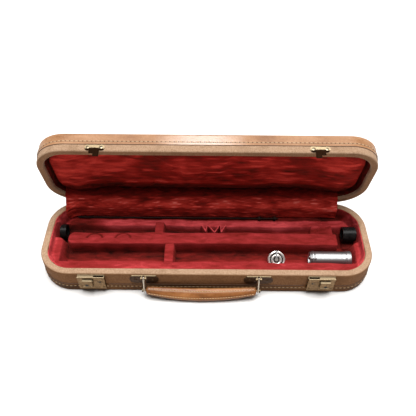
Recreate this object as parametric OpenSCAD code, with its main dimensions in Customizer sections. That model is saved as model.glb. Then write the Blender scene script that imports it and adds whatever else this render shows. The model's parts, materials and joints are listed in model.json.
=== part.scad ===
// Hard case for a concert flute: a cloth-covered shell with leather binding, a plush-lined
// interior with wells, a hinged lid, two sliding latches, a leather carrying handle, and the
// few small things that are kept in it. Origin at the centre of the underside, +X to the right,
// +Y towards the hinges, +Z up. The lid is drawn standing open.

/* [Case] */
// Length of the case, left to right
case_l = 420; // [400:5:440]
// Depth of the case, front to back
case_w = 118; // [114:1:122]
// Radius of the four corners, seen from above
corner_r = 40; // [36:1:44]
// Height of the base
base_h = 37; // [36:0.5:38]
// Height of the lid
lid_h = 26; // [25:0.5:28]
// Width of the cloth-covered rim
rim_w = 9; // [8.5:0.5:9.5]
// Radius of the outer edges
edge_r = 2.5; // [2:0.1:3]

/* [Lid] */
// How far the lid stands open
lid_open = 78; // [60:1:100]
// Distance of each hinge from the middle
hinge_x = 90; // [70:1:110]

/* [Covering] */
// Thickness of cloth and leather
skin = 1.2; // [1:0.1:1.4]
// Thickness of the board walls
board = 6; // [5:0.25:6]
// Thickness of the bottom and top boards
panel = 4; // [3:0.5:5]
// Height of the leather binding on the base
base_band = 14.6; // [12:0.2:15]
// Height of the leather binding on the lid
lid_band = 16; // [14:0.2:16.2]
// How far the leather stands proud of the cloth
proud = 0.6; // [0.4:0.1:0.8]

/* [Interior] */
// Height of the centre ridge
ridge_top = 28; // [26:0.5:30]
// Height of the front lip
lip_top = 30; // [28:0.5:31]
// Height of the rear shelf
shelf_top = 18.2; // [16:0.2:20]
// Height of the floor pad's upper face
floor_top = 8.2; // [7:0.2:9]

/* [Latches] */
// Centre of each strike and of the pocket it drops into
strike_x = 132; // [128:1:136]
// Travel of the latch button
latch_travel = 5; // [4.5:0.1:5.2]

/* [Handle] */
// Distance between the two handle plates
handle_span = 141; // [136:1:146]
// Middle of the handle, left of the case's middle
handle_x = -6.3; // [-8:0.1:0]
// Length of each wire loop between its pins
loop_l = 20; // [18:0.5:20.5]
// Lean of the hanging loops away from the case
loop_lean = 13; // [12:0.5:25]
// Bow of the grip between its ends
grip_bow = 5.4; // [4:0.2:6]

/* [Contents] */
// Outer radius of the silver barrel
barrel_r = 9.3; // [8.8:0.1:9.5]
// Radius of the silver key cup
cup_r = 11; // [10:0.5:11.5]
// Radius of the cleaning rod
rod_r = 1.0; // [0.8:0.1:1.4]

/* [Hidden] */
$fn = 64;
half_w = case_w / 2;
gap = 0.15;                         // half of the joint between the closed rims
hinge_z = base_h;
lining_t = 2.5;
lining_in = rim_w + lining_t;       // inset of the lining's inner face
front_y = -half_w;
recess = 0.9;                       // the back rims are lowered for the lining that crosses them
gusset_x = [-189.6, 176.6];            // ends of the lining that crosses the hinge
knuckle_r = 2.4;
pin_r = 1;
leaf_half = 12;
leaf_t = 1;
leaf_reach = 9.6;                   // from the hinge axis to a leaf's far edge
screw_r = 0.8;
screw_len = 5.5;
hinge_screw_x = 8;
hinge_screw_z = 6.3;                // from the hinge axis
strike_screw_x = 8;
strike_z = base_h + 5;
tongue_half = 6;
tongue_y = front_y - 1.4;           // back of the strike's tongue and of the bolt
tongue_t = 1;
tongue_tip = 28.8;
plate_in = strike_x - 7;
plate_out = plate_in + 33;
plate_z0 = 10;
plate_z1 = 34.6;
plate_t = 0.8;
cover_y = front_y - 3.6;            // back of the latch's front skin
plate_rivets = [[plate_in + 3, plate_z0 + 3.4], [plate_out - 3, plate_z0 + 3.4]];
rivet_r = 0.8;
button_x = plate_in + 14.8;
button_w = 12;
button_z = [17.8, 31.2];
button_y = cover_y - plate_t - 0.5; // back of the button
bolt_z = [29.9, 32.5];
carriage = [button_x + 4, button_x + 11];
neck_z = [27, 31];
lobe_x = 10.6;
lobe_z = 26;
handle_pin = [front_y - 4, 33.2];
wire_r = 0.8;
handle_pin_r = 1;
eye_r = handle_pin_r + 0.1 + wire_r; // middle of the wire round a pin
grip_pin = handle_pin - loop_l * [sin(loop_lean), cos(loop_lean)];
grip_half = handle_span / 2 - 1.5;
grip_r = 4.3;
bow_tilt = 31;                      // the bow points this far from straight down
grip_tilt = 49;                     // and the grip's flat leans back this far from upright
barrel_x = [136, 186];
barrel_y = -21;
barrel_z = floor_top + barrel_r + 0.8;
cup_at = [90.5, -21.5, 16.6];
cup_tilt = 38;
cap_right = [180, 15.5, 23];
cap_left = [-195.5, 19.5, 19];
cap_r = 10;
rod_x = [-177, 98];
rod_at = [43.4, shelf_top + 2.8];
bead_x = [72, 93];
bead_r = 2.8;

cloth = "#c9a67c";
leather = "#b87840";
plush = "#b3202c";
brass = "#a58a52";
silver = "#e4e4e6";
black = "#161616";

// ---- shared shapes ----

// The case's outline from above, moved in by an inset.
module outline(inset = 0) {
    r = corner_r - inset;
    x = case_l / 2 - corner_r;
    y = half_w - corner_r;
    square([2 * x, 2 * (y + r)], center = true);
    square([2 * (x + r), 2 * y], center = true);
    for (sx = [-1, 1], sy = [-1, 1])
        translate([sx * x, sy * y]) circle(r);
}

module slab(inset, z0, z1) {
    translate([0, 0, z0]) linear_extrude(z1 - z0) outline(inset);
}

// Sweeps a profile round the case: its x is 0 on the outline and negative inwards.
module band() {
    x = case_l / 2 - corner_r;
    y = half_w - corner_r;
    for (mx = [0, 1], my = [0, 1])
        mirror([mx, 0, 0]) mirror([0, my, 0])
            translate([x, y, 0])
                rotate_extrude(angle = 90) translate([corner_r, 0]) children();
    for (turn = [0, 180]) rotate([0, 0, turn]) {
        translate([-x, half_w, 0]) rotate([90, 0, 90]) linear_extrude(2 * x) children();
        translate([case_l / 2, y, 0]) rotate([90, 0, 0]) linear_extrude(2 * y) children();
    }
}

// A rectangle from corner a to corner b, in a profile or a plate.
module rect(a, b) {
    translate(a) square(b - a);
}

// The same with both upper corners rounded.
module round_top(a, b, r) {
    rect(a, [b.x, b.y - r]);
    rect([a.x + r, b.y - r - 0.5], [b.x - r, b.y]);
    for (x = [a.x + r, b.x - r]) translate([x, b.y - r]) circle(r);
}

// A box from corner a to corner b.
module block(a, b) {
    translate(a) cube(b - a);
}

// A plate drawn in x and z, with its back at y0 and its thickness towards the front.
module facing(y0, t) {
    translate([0, y0, 0]) rotate([90, 0, 0]) linear_extrude(t) children();
}

// A plate drawn in y and z, from x0 to the right.
module side_on(x0, t) {
    translate([x0, 0, 0]) rotate([90, 0, 90]) linear_extrude(t) children();
}

module rod_along_x(x0, x1, y, z, r) {
    translate([x0, y, z]) rotate([0, 90, 0]) cylinder(h = x1 - x0, r = r);
}

// A screw or rivet through a wall, its head towards dir (-1 front, 1 back).
module wall_screw(x, z, face_y, dir, head_r, head_h) {
    turn = dir < 0 ? 90 : -90;
    translate([x, face_y, z]) rotate([turn, 0, 0]) {
        translate([0, 0, -screw_len]) cylinder(h = screw_len, r = screw_r);
        rotate_extrude() intersection() {
            translate([0, head_h - 3 * head_r]) circle(3 * head_r, $fn = 128);
            rect([0, 0], [head_r, head_h]);
        }
    }
}

module pilot(x, z, dir) {
    turn = dir < 0 ? 90 : -90;
    translate([x, dir * half_w, z]) rotate([turn, 0, 0]) {
        translate([0, 0, -screw_len]) cylinder(h = screw_len + 3, r = screw_r);
    }
}

// Puts a child built for the closed lid where the open lid is.
module on_lid() {
    translate([0, half_w, hinge_z]) rotate([-lid_open, 0, 0])
        translate([0, -half_w, -hinge_z]) children();
}

// Turns a shell piece built from its closed face upwards into the lid's.
module lid_way_up() {
    translate([0, 0, base_h + lid_h]) mirror([0, 0, 1]) children();
}

module hinge_notches() {
    for (s = [-1, 1])
        rod_along_x(s * hinge_x - leaf_half - 0.8, s * hinge_x + leaf_half + 0.8,
            half_w, hinge_z, knuckle_r + 0.5);
}

module base_pilots() {
    for (s = [-1, 1]) {
        for (d = [-1, 1]) pilot(s * hinge_x + d * hinge_screw_x, hinge_z - hinge_screw_z, 1);
        for (p = plate_rivets) pilot(s * p.x, p.y, -1);
        for (d = [-1, 1])
            pilot(handle_x + s * handle_span / 2 + d * lobe_x, lobe_z, -1);
    }
}

module lid_pilots() {
    for (s = [-1, 1], d = [-1, 1]) {
        pilot(s * hinge_x + d * hinge_screw_x, hinge_z + hinge_screw_z, 1);
        pilot(s * strike_x + d * strike_screw_x, strike_z, -1);
    }
}

// ---- the shell, for a given height: board, cloth, binding and lining ----

module shell_board(h) {
    band() rect([-skin - board, skin], [-skin, h - gap - 1.85]);
    slab(skin + board - 0.5, skin, skin + panel);
}

// Cloth on the wall, over the rim and a little way down inside.
module wall_cloth(h, strip_z) {
    top = h - gap;
    band() difference() {
        round_top([-rim_w, strip_z], [0, top], 2.2);
        rect([-skin - board, strip_z - 1], [-skin, top - 1.85]);
        rect([-rim_w - 1, strip_z - 1], [-skin - board + 0.01, top - 4.85]);
    }
}

// Leather round the edge: up the wall, and some way under the panel.
module edge_binding(strip_z) {
    e = edge_r;
    band() difference() {
        union() {
            rect([-14, 0], [proud - e, strip_z]);
            rect([-14, e], [proud, strip_z]);
            translate([proud - e, e]) circle(e);
        }
        rect([-15, skin], [-skin, strip_z + 1]);
        rect([-skin - 0.01, base_band * 2], [1, base_band * 3]);
    }
}

module wall_plush(h, floor_z) {
    top = h - gap;
    band() {
        rect([-lining_in, floor_z], [-skin - board, top - 4.95]);
        rect([-lining_in, top - 5.5], [-rim_w - 0.05, top - 1.85]);
    }
}

// The back rim is lowered where the lining crosses it.
module gusset_recess(z0, z1) {
    block([gusset_x[0] - 2, 30, z0], [gusset_x[1] + 2, half_w + 1, z1]);
}

module gusset_strip(z0, z1, drop0, drop1) {
    intersection() {
        band() {
            rect([-lining_in - 0.8, z0], [-2.8, z1]);
            rect([-lining_in - 0.8, drop0], [-lining_in - 0.2, drop1]);
        }
        block([gusset_x[0], 30, 0], [gusset_x[1], half_w, base_h + lid_h]);
    }
}

// ---- base ----

module base_shell() {
    color("#8a6a44") difference() {
        shell_board(base_h);
        gusset_recess(base_h - gap - 1.85, base_h + 1);
        hinge_notches();
        base_pilots();
    }
}

module base_cloth() {
    color(cloth) difference() {
        wall_cloth(base_h, base_band);
        gusset_recess(base_h - gap - recess, base_h + 1);
        hinge_notches();
        base_pilots();
    }
}

module base_binding() {
    color(leather) difference() {
        edge_binding(base_band);
        base_pilots();
        // cut away behind the latch plates, which lie flat on the cloth
        for (s = [-1, 1])
            block([s * (plate_in + plate_out) / 2 - 16.8, front_y - 2, plate_z0 - 0.3],
                [s * (plate_in + plate_out) / 2 + 16.8, front_y, base_h]);
    }
}

module base_bottom_cloth() {
    color(cloth) slab(14.2, 0, skin);
}

module base_lining() {
    color(plush) wall_plush(base_h, skin + panel);
}

module floor_pad() {
    color(plush) slab(lining_in + 0.1, skin + panel, floor_top);
}

// A lining block, trimmed to the inside of the lining.
module bed(a, b) {
    intersection() {
        block([a.x, a.y, floor_top], [b.x, b.y, b.z]);
        slab(lining_in + 0.1, floor_top, base_h);
    }
}

module front_lip() {
    color(plush) bed([-case_l / 2, -half_w], [case_l / 2, -35, lip_top]);
}

module centre_ridge() {
    r = 10;
    color(plush) translate([0, 3, floor_top]) linear_extrude(ridge_top - floor_top) {
        rect([-182 + r, -r], [171, r]);
        translate([-182 + r, 0]) circle(r);
    }
}

module rear_shelf() {
    color(plush) bed([-185, 31], [185, half_w, shelf_top]);
}

module well_divider() {
    color(plush) bed([-55, -34.8], [-41, -7.2, 27]);
}

module slot_bridge_left() {
    color(plush) bed([-70, 13.2], [-56, 30.8, 26]);
}

module slot_bridge_middle() {
    color(plush) for (x = [-7, 6, 19]) bed([x, 13.2], [x + 6, 30.8, 24]);
}

module slot_ramp_right() {
    color(plush) bed([140, 13.2], [169, 30.8, 22]);
}

module end_block_left() {
    color(plush) bed([-case_l / 2, -34.8], [-184, 7, 27]);
}

// The low part is the seat of the black cap.
module end_block_right() {
    color(plush) {
        bed([188, -34.8], [case_l / 2, 3, 27]);
        bed([cap_right.x, 2.5], [case_l / 2, 28, cap_right.z - cap_r - 0.4]);
    }
}

module base_gusset() {
    top = base_h - gap - recess;
    color(plush) gusset_strip(top + 0.1, top + 0.6, 22, top + 0.6);
}

// ---- lid, built closed and then opened ----

module lid_shell() {
    color("#8a6a44") on_lid() difference() {
        lid_way_up() shell_board(lid_h);
        gusset_recess(base_h - 1, base_h + gap + 1.85);
        hinge_notches();
        lid_pilots();
    }
}

module lid_cloth() {
    color(cloth) on_lid() difference() {
        lid_way_up() wall_cloth(lid_h, lid_band);
        gusset_recess(base_h - 1, base_h + gap + recess);
        hinge_notches();
        lid_pilots();
    }
}

module lid_binding() {
    color(leather) on_lid() lid_way_up() edge_binding(lid_band);
}

module lid_top_cloth() {
    color(cloth) on_lid() lid_way_up() slab(14.2, 0.3, skin);
}

module lid_wall_lining() {
    color(plush) on_lid() lid_way_up() wall_plush(lid_h, skin + panel);
}

module lid_pad() {
    color(plush) on_lid() lid_way_up() slab(lining_in + 0.1, skin + panel, skin + panel + 5);
}

module lid_gusset() {
    low = base_h + gap + recess;
    color(plush) on_lid() gusset_strip(low - 0.6, low - 0.1, low - 0.6, 50);
}

// ---- hinges ----

// A leaf: a plate on the back wall and its knuckles. dir is -1 on the base and 1 on the lid.
module hinge_leaf(x, dir, spans, other_spans, bore_r) {
    z0 = hinge_z + dir * 2.2;
    z1 = hinge_z + dir * leaf_reach;
    difference() {
        union() {
            facing(half_w + leaf_t, leaf_t)
                rect([x - leaf_half, min(z0, z1)], [x + leaf_half, max(z0, z1)]);
            for (s = spans) {
                rod_along_x(x + s[0], x + s[1], half_w, hinge_z, knuckle_r);
                block([x + s[0], half_w, min(hinge_z + dir * 1.5, z0 + dir)],
                    [x + s[1], half_w + leaf_t, max(hinge_z + dir * 1.5, z0 + dir)]);
            }
        }
        rod_along_x(x - leaf_half - 1, x + leaf_half + 1, half_w, hinge_z, bore_r);
        for (s = other_spans)
            rod_along_x(x + s[0] - 0.25, x + s[1] + 0.25, half_w, hinge_z, knuckle_r + 0.4);
        for (d = [-1, 1])
            translate([x + d * hinge_screw_x, half_w - 1, hinge_z + dir * hinge_screw_z])
                rotate([-90, 0, 0]) cylinder(h = 4, r = screw_r);
    }
}

base_knuckles = [[-leaf_half, -4.2], [4.2, leaf_half]];
lid_knuckle = [[-3.9, 3.9]];

module hinge_base_leaf(x) {
    color(brass) hinge_leaf(x, -1, base_knuckles, lid_knuckle, pin_r);
}

module hinge_lid_leaf(x) {
    color(brass) on_lid() hinge_leaf(x, 1, lid_knuckle, base_knuckles, pin_r + 0.06);
}

module hinge_pin(x) {
    color(brass) rod_along_x(x - leaf_half - 0.6, x + leaf_half + 0.6, half_w, hinge_z, pin_r);
}

module hinge_base_screws() {
    color(brass) for (s = [-1, 1], d = [-1, 1])
        wall_screw(s * hinge_x + d * hinge_screw_x, hinge_z - hinge_screw_z,
            half_w + leaf_t, 1, 1.6, 0.6);
}

module hinge_lid_screws() {
    color(brass) on_lid() for (s = [-1, 1], d = [-1, 1])
        wall_screw(s * hinge_x + d * hinge_screw_x, hinge_z + hinge_screw_z,
            half_w + leaf_t, 1, 1.6, 0.6);
}

// ---- latches: a plate with a pocket, a button on a bolt, and a strike on the lid ----

// A shallow box on the front wall, open at the top for the strike's tongue, with a slot for
// the button's neck and two rails that guide the bolt.
module latch_plate() {
    back = front_y - plate_t;
    color(brass) difference() {
        union() {
            facing(front_y, plate_t) rect([plate_in, plate_z0], [plate_out, plate_z1]);
            facing(cover_y, plate_t) rect([plate_in, plate_z0], [plate_out, plate_z1]);
            for (x = [plate_in, plate_out - plate_t])
                block([x, cover_y, plate_z0], [x + plate_t, back, plate_z1 - 1]);
            block([plate_in, cover_y, plate_z0], [plate_out, back, plate_z0 + plate_t]);
            rod_along_x(plate_in, plate_out, cover_y - 0.8, plate_z1, 0.8);
            for (z = [bolt_z[1] + 0.3, 22.6])
                block([carriage[0] - 5, tongue_y - tongue_t - 0.2, z],
                    [plate_out - 0.2, back, z + 0.8]);
        }
        block([carriage[0] - latch_travel - 0.2, cover_y - 2, neck_z[0] - 0.3],
            [carriage[1] - 0.3, cover_y + 0.5, neck_z[1] + 0.3]);
        // keyhole
        translate([strike_x - 1.5, cover_y + 0.5, 25.2]) rotate([90, 0, 0])
            cylinder(h = 3, r = 1.5);
        for (p = plate_rivets)
            translate([p.x, front_y + 1, p.y]) rotate([90, 0, 0]) cylinder(h = 9, r = rivet_r);
    }
}

module latch_rivets() {
    face = cover_y - plate_t;
    color(brass) for (s = [-1, 1], p = plate_rivets) {
        wall_screw(s * p.x, p.y, face, -1, 1.3, 0.5);
        translate([s * p.x, face, p.y]) rotate([-90, 0, 0])
            cylinder(h = front_y - face + screw_len, r = rivet_r);
    }
}

module latch_button() {
    z0 = button_z[0];
    z1 = button_z[1];
    color(brass) difference() {
        union() {
            block([button_x, button_y - 2.4, z0], [button_x + button_w, button_y, z1]);
            for (z = [z0 + 0.9, z1 - 0.9])
                rod_along_x(button_x, button_x + button_w, button_y - 2.2, z, 0.9);
        }
        translate([button_x + 7.2, button_y - 1, 21.6]) rotate([90, 0, 0])
            cylinder(h = 3, r = 1.6);
    }
}

// The bolt slides behind the latch's front skin, with a neck that carries the button.
module latch_bolt() {
    front = tongue_y - tongue_t;
    color(brass) {
        block([strike_x + tongue_half + 0.6, front, bolt_z[0]], [carriage[1], tongue_y, bolt_z[1]]);
        block([carriage[0], front, 23.8], [carriage[1], tongue_y, bolt_z[1]]);
        block([carriage[0] + 0.5, button_y, neck_z[0]], [carriage[1] - 0.8, front + 0.1, neck_z[1]]);
    }
}

module strike() {
    x = strike_x;
    color(brass) on_lid() difference() {
        union() {
            facing(front_y, 0.9) {
                for (d = [-1, 1]) translate([x + d * strike_screw_x, strike_z]) circle(3.9);
                rect([x - strike_screw_x, strike_z - 2], [x + strike_screw_x, strike_z + 3.4]);
            }
            block([x - tongue_half, tongue_y - tongue_t, strike_z - 0.5],
                [x + tongue_half, front_y - 0.8, strike_z + 2]);
            block([x - tongue_half, tongue_y - tongue_t, tongue_tip],
                [x + tongue_half, tongue_y, strike_z + 2]);
        }
        // the bolt slides into this notch
        block([x + 1, tongue_y - 3, bolt_z[0] - 0.6],
            [x + tongue_half + 1, tongue_y + 1, bolt_z[1] + 0.6]);
        for (d = [-1, 1])
            translate([x + d * strike_screw_x, front_y + 1, strike_z])
                rotate([90, 0, 0]) cylinder(h = 4, r = screw_r);
    }
}

module strike_screws() {
    color(brass) on_lid() for (s = [-1, 1], d = [-1, 1])
        wall_screw(s * strike_x + d * strike_screw_x, strike_z, front_y - 0.9, -1, 2, 0.9);
}

// ---- handle ----

// Two lobes with a rolled top edge, and two ears between them that hold the loop's pin.
module handle_plate(x) {
    top = 34.8;
    color(brass) translate([x, 0, 0]) difference() {
        union() {
            facing(front_y, 1) {
                for (d = [-1, 1]) translate([d * lobe_x, lobe_z]) circle(7.4);
                rect([-lobe_x - 4.5, lobe_z + 2], [lobe_x + 4.5, top]);
                rect([-lobe_x, lobe_z - 7.4], [lobe_x, top]);
            }
            for (d = [-1, 1])
                rod_along_x(d * 9 - 5.4, d * 9 + 5.4, front_y - 1, top - 0.6, 0.8);
            for (d = [-1, 1]) side_on(d * 2.2 - 0.6, 1.2) {
                translate(handle_pin) circle(2.1);
                rect([handle_pin.x, handle_pin.y - 2.1], [front_y - 0.9, handle_pin.y + 1.6]);
            }
        }
        rod_along_x(-5, 5, handle_pin.x, handle_pin.y, handle_pin_r);
        for (d = [-1, 1])
            translate([d * lobe_x, front_y + 1, lobe_z]) rotate([90, 0, 0])
                cylinder(h = 4, r = screw_r);
        // the gap between the two lobes
        block([-1.6, front_y - 2, 16], [1.6, front_y + 1, 29]);
    }
}

module handle_rivets() {
    color(brass) for (s = [-1, 1], d = [-1, 1])
        wall_screw(handle_x + s * handle_span / 2 + d * lobe_x, lobe_z, front_y - 1, -1, 1.8, 0.7);
}

module handle_plate_pins() {
    color(brass) for (s = [-1, 1]) {
        x = handle_x + s * handle_span / 2;
        rod_along_x(x - 3.2, x + 3.2, handle_pin.x, handle_pin.y, handle_pin_r);
        for (d = [-1, 1])
            rod_along_x(x + d * 3.2 - 0.4, x + d * 3.2 + 0.4, handle_pin.x, handle_pin.y, 1.6);
    }
}

// A wire loop that hangs from a plate's pin and holds a grip's pin.
module handle_loop(x) {
    color(silver) translate([x, handle_pin.x, handle_pin.y]) rotate([-loop_lean, 0, 0]) {
        for (end = [0, 1]) translate([0, 0, -end * loop_l])
            rotate([0, 90, 0]) rotate([0, 0, end ? -90 : 90])
                rotate_extrude(angle = 180) translate([eye_r, 0]) circle(wire_r);
        for (d = [-1, 1]) translate([0, d * eye_r, -loop_l]) cylinder(h = loop_l, r = wire_r);
    }
}

// Centre of the grip at s, from -1 to 1 along it.
function grip_at(s) = [
    handle_x + s * (grip_half - 4.5),
    grip_pin.x - grip_bow * (1 - s * s) * sin(bow_tilt),
    grip_pin.y - grip_bow * (1 - s * s) * cos(bow_tilt)];
function grip_spread(s) = 0.9 + 3 * (1 - s * s);

module grip_station(s) {
    for (d = [-1, 1])
        translate(grip_at(s) + d * grip_spread(s) * [0, sin(grip_tilt), cos(grip_tilt)])
            sphere(grip_r, $fn = 28);
}

module handle_grip() {
    steps = 6;
    color(leather) difference() {
        union() for (i = [0 : steps - 1]) hull() {
            grip_station(-1 + 2 * i / steps);
            grip_station(-1 + 2 * (i + 1) / steps);
        }
        for (s = [-1, 1])
            rod_along_x(handle_x + s * (grip_half - 3) - 6, handle_x + s * (grip_half - 3) + 6,
                grip_pin.x, grip_pin.y, handle_pin_r);
    }
}

module handle_grip_pins() {
    color(brass) for (s = [-1, 1]) mirror([s < 0 ? 1 : 0, 0, 0]) {
        x = s * handle_x + grip_half;
        rod_along_x(x - 8, x + 3.2, grip_pin.x, grip_pin.y, handle_pin_r);
        rod_along_x(x + 3, x + 4.2, grip_pin.x, grip_pin.y, 2.5);
    }
}

// ---- what is kept in the case ----

module ring_x(x0, x1, y, z, r_out, r_in) {
    difference() {
        rod_along_x(x0, x1, y, z, r_out);
        rod_along_x(x0 - 1, x1 + 1, y, z, r_in);
    }
}

module barrel_tube() {
    color(silver) {
        ring_x(barrel_x[0], barrel_x[1], barrel_y, barrel_z, barrel_r, barrel_r - 0.8);
        ring_x(barrel_x[0] - 3, barrel_x[0] + 0.5, barrel_y, barrel_z, barrel_r - 0.5,
            barrel_r - 0.8);
    }
}

module barrel_rings() {
    color(silver) {
        ring_x(barrel_x[1] - 6, barrel_x[1], barrel_y, barrel_z, barrel_r + 0.7, barrel_r);
        ring_x(barrel_x[0], barrel_x[0] + 2.2, barrel_y, barrel_z, barrel_r + 0.5, barrel_r);
    }
}

// A ball-ended post on a short foot, soldered to the left end of the barrel.
module barrel_post() {
    y = barrel_y - 5.2;
    z = barrel_z + sqrt(barrel_r * barrel_r - 27.04);
    color(silver) {
        difference() {
            block([barrel_x[0] - 5.5, y - 1, z], [barrel_x[0] + 5, y + 1, z + 1.6]);
            rod_along_x(barrel_x[0] - 6, barrel_x[0] + 6, barrel_y, barrel_z, barrel_r + 0.5);
        }
        translate([barrel_x[0] - 4.3, y, z + 1.2]) cylinder(h = 1.3, r = 0.8);
        translate([barrel_x[0] - 4.3, y, z + 3]) sphere(1.5);
    }
}

module on_cup() {
    translate(cup_at) rotate([cup_tilt, 0, 0]) children();
}

module key_cup() {
    color(silver) on_cup() difference() {
        union() {
            cylinder(h = 2.2, r = cup_r);
            translate([0, 0, 2.1]) rotate_extrude() {
                translate([cup_r - 1.1, 0]) circle(0.9);
                translate([cup_r * 0.52, 0]) circle(0.8);
            }
            translate([0, 0, 2]) cylinder(h = 1.2, r = 2.4);
        }
        translate([0, 0, -1]) cylinder(h = 2, r = cup_r - 0.8);
    }
}

module key_pad() {
    color("#d8c9a8") on_cup() translate([0, 0, -1]) cylinder(h = 2, r = cup_r - 0.8);
}

module key_arm() {
    color(silver) on_cup() block([-1.1, 2.4, 3], [1.1, cup_r - 0.2, 4.4]);
}

// A black plug that keeps the dust out of a tube's end, open to one side.
module tenon_cap(at, length, mouth) {
    hollow = 0.6 * length;
    color(black) translate(at) rotate([0, 90, 0]) difference() {
        union() {
            cylinder(h = length, r = cap_r - 1);
            translate([0, 0, mouth ? 0 : 1.2]) cylinder(h = length - 1.2, r = cap_r);
        }
        translate([0, 0, mouth ? -1 : length - hollow]) cylinder(h = hollow + 1, r = cap_r - 2.6);
    }
}

module rod_shaft() {
    color(black) rod_along_x(rod_x[0], rod_x[1], rod_at.x, rod_at.y, rod_r);
}

module rod_beads() {
    color(black) for (x = bead_x)
        ring_x(x - 1.5, x + 1.5, rod_at.x, rod_at.y, bead_r, rod_r);
}

base_shell();
base_cloth();
base_binding();
base_bottom_cloth();
base_lining();
floor_pad();
front_lip();
centre_ridge();
rear_shelf();
well_divider();
slot_bridge_left();
slot_bridge_middle();
slot_ramp_right();
end_block_left();
end_block_right();
base_gusset();
lid_shell();
lid_cloth();
lid_binding();
lid_top_cloth();
lid_wall_lining();
lid_pad();
lid_gusset();
hinge_base_leaf(-hinge_x);  // hinge_base_leaf_left
hinge_base_leaf(hinge_x);  // hinge_base_leaf_right
hinge_lid_leaf(-hinge_x);  // hinge_lid_leaf_left
hinge_lid_leaf(hinge_x);  // hinge_lid_leaf_right
hinge_pin(-hinge_x);  // hinge_pin_left
hinge_pin(hinge_x);  // hinge_pin_right
hinge_base_screws();
hinge_lid_screws();
mirror([1, 0, 0]) latch_plate();  // latch_plate_left
latch_plate();  // latch_plate_right
latch_rivets();
mirror([1, 0, 0]) latch_button();  // latch_button_left
latch_button();  // latch_button_right
mirror([1, 0, 0]) latch_bolt();  // latch_bolt_left
latch_bolt();  // latch_bolt_right
mirror([1, 0, 0]) strike();  // strike_left
strike();  // strike_right
strike_screws();
handle_plate(handle_x - handle_span / 2);  // handle_plate_left
handle_plate(handle_x + handle_span / 2);  // handle_plate_right
handle_rivets();
handle_plate_pins();
handle_loop(handle_x - handle_span / 2);  // handle_loop_left
handle_loop(handle_x + handle_span / 2);  // handle_loop_right
handle_grip();
handle_grip_pins();
barrel_tube();
barrel_rings();
barrel_post();
key_cup();
key_pad();
key_arm();
tenon_cap(cap_right, 17.5, true);  // tenon_cap_right
tenon_cap(cap_left, 8, false);  // tenon_cap_left
rod_shaft();
rod_beads();
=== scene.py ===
"""The looks of the open flute case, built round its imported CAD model."""

import json
import math

import bpy
import numpy as np
from mathutils import Matrix, Vector


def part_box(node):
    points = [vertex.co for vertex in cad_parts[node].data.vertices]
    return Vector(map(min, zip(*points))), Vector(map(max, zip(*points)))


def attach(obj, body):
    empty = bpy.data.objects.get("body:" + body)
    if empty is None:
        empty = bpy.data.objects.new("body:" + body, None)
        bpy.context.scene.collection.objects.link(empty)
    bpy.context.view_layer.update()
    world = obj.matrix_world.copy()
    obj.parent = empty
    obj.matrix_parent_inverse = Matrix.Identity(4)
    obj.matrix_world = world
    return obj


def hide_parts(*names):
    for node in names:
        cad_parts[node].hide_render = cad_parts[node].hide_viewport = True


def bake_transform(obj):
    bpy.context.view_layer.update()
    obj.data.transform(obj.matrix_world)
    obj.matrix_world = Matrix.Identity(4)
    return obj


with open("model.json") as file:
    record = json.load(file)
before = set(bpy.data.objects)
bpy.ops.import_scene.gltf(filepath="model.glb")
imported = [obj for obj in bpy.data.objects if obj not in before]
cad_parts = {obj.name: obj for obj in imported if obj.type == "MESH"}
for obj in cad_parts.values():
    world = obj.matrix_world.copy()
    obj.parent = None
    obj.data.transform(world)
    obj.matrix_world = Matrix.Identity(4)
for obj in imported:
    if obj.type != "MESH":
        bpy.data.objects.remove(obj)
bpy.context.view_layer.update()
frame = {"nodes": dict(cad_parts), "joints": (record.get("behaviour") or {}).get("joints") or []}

MM = 0.001
CLOTH_FRAMES = 20

# ---- places worked out from the frame ----

LID_JOINT = next(j for j in frame["joints"] if j["name"] == "lid_hinge")
HINGE = np.array(LID_JOINT["pos_m"])
LID_OPEN = math.radians(-LID_JOINT["range_deg"][0])
CASE_LOW, CASE_HIGH = (np.array(c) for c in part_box("base_cloth"))
LID_HEIGHT = 26 * MM
HALF_L, HALF_W = CASE_HIGH[0], -CASE_LOW[1]
CORNER_R = 40 * MM
KEY_TILT = math.radians(38)
KEY_R = 11 * MM
RIM_W = 9 * MM
RIM_Z = HINGE[2]
LID_TOP = RIM_Z + LID_HEIGHT


def open_lid(points):
    """Points given for the closed lid, moved to where the open lid is."""
    p = np.asarray(points, float) - HINGE
    c, s = math.cos(LID_OPEN), math.sin(LID_OPEN)
    y, z = p[..., 1] * c + p[..., 2] * s, -p[..., 1] * s + p[..., 2] * c
    return np.stack([p[..., 0], y, z], -1) + HINGE


def smooth(t):
    t = np.clip(t, 0, 1)
    return t * t * (3 - 2 * t)


def ease(x, a, b):
    """0 before a, 1 after b."""
    return smooth((x - a) / (b - a))


def waves(x, y, size, seed, count=14, stretch=1.0):
    """Seeded smooth noise from -1 to 1, with features of about that size, longer in x by stretch."""
    draw = np.random.default_rng(seed)
    total = np.zeros_like(x)
    for _ in range(count):
        angle = draw.uniform(0, 2 * math.pi)
        k = 2 * math.pi / (size * draw.uniform(0.6, 1.8))
        phase = draw.uniform(0, 2 * math.pi)
        total += np.sin(k * (x * math.cos(angle) / stretch + y * math.sin(angle)) + phase)
    return total / math.sqrt(count) / 1.4


# ---- mesh helpers ----


def new_object(name, verts, faces, material, tone=None):
    mesh = bpy.data.meshes.new(name)
    mesh.from_pydata([tuple(v) for v in verts], [], faces)
    mesh.update()
    mesh.shade_smooth()
    if tone is not None:
        mesh.attributes.new("tone", "FLOAT", "POINT").data.foreach_set("value", np.ravel(tone))
    mesh.materials.append(material)
    piece = bpy.data.objects.new(name, mesh)
    bpy.context.scene.collection.objects.link(piece)
    return piece


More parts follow.
